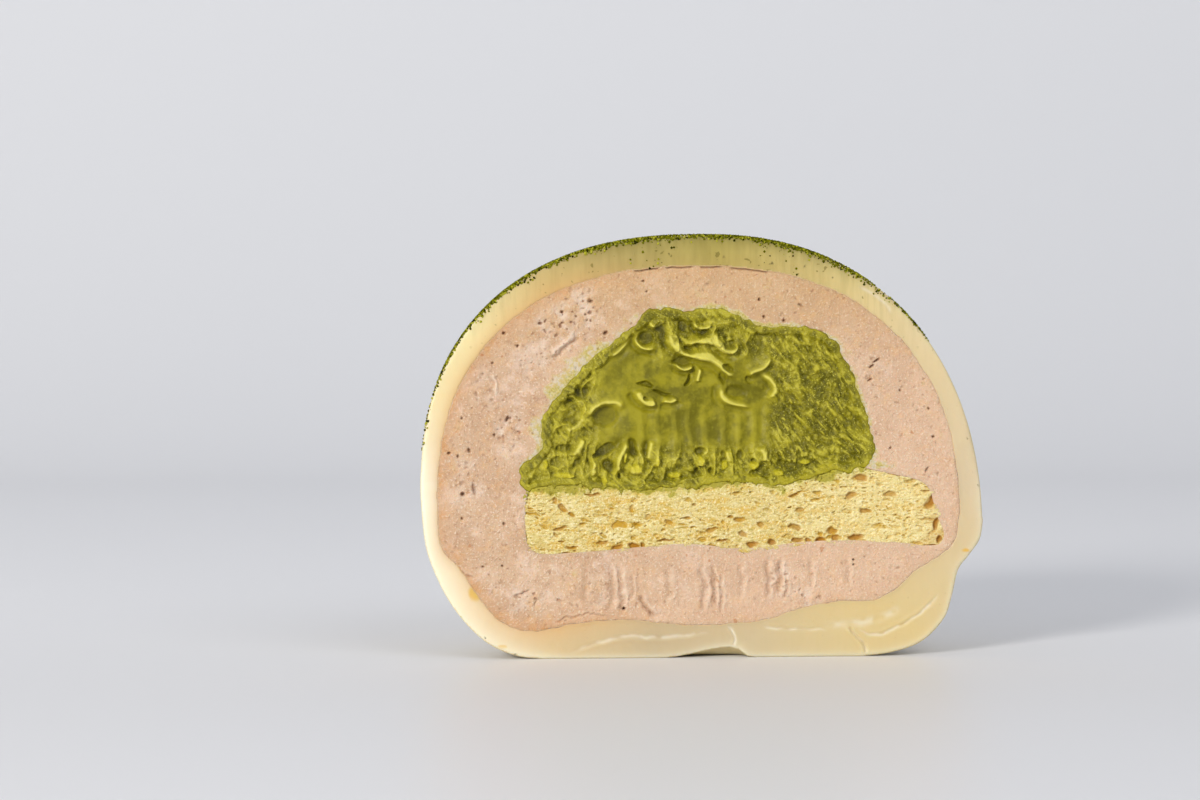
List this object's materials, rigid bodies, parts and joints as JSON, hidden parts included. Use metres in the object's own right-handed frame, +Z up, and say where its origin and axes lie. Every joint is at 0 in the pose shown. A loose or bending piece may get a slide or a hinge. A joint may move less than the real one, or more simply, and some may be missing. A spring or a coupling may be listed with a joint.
{
  "type": "filled mochi rice cake, cut in half",
  "caption": "Half of a filled rice cake with its cut side showing skin, cream, green paste and sponge cake; stands on its base.",
  "frame": {"origin": "middle of the outside box, at the level of the base", "axes": "+X to the right as the cut side is looked at, the cut side faces -Y, +Z up"},
  "size_m": [0.0702, 0.0344, 0.0525],
  "materials": {
    "rice_skin": "soft, slightly translucent rice dough, dusted with green tea powder on top",
    "pink_cream": "matt whipped cream with small air holes and fruit specks",
    "green_paste": "moist smooth paste, satin",
    "sponge_crumb": "open crumb, matt"
  },
  "bodies": {
    "root": {"mochi_skin": "rice_skin", "pink_cream": "pink_cream", "green_paste": "green_paste", "sponge_cake": "sponge_crumb"}
  },
  "joints": []
}
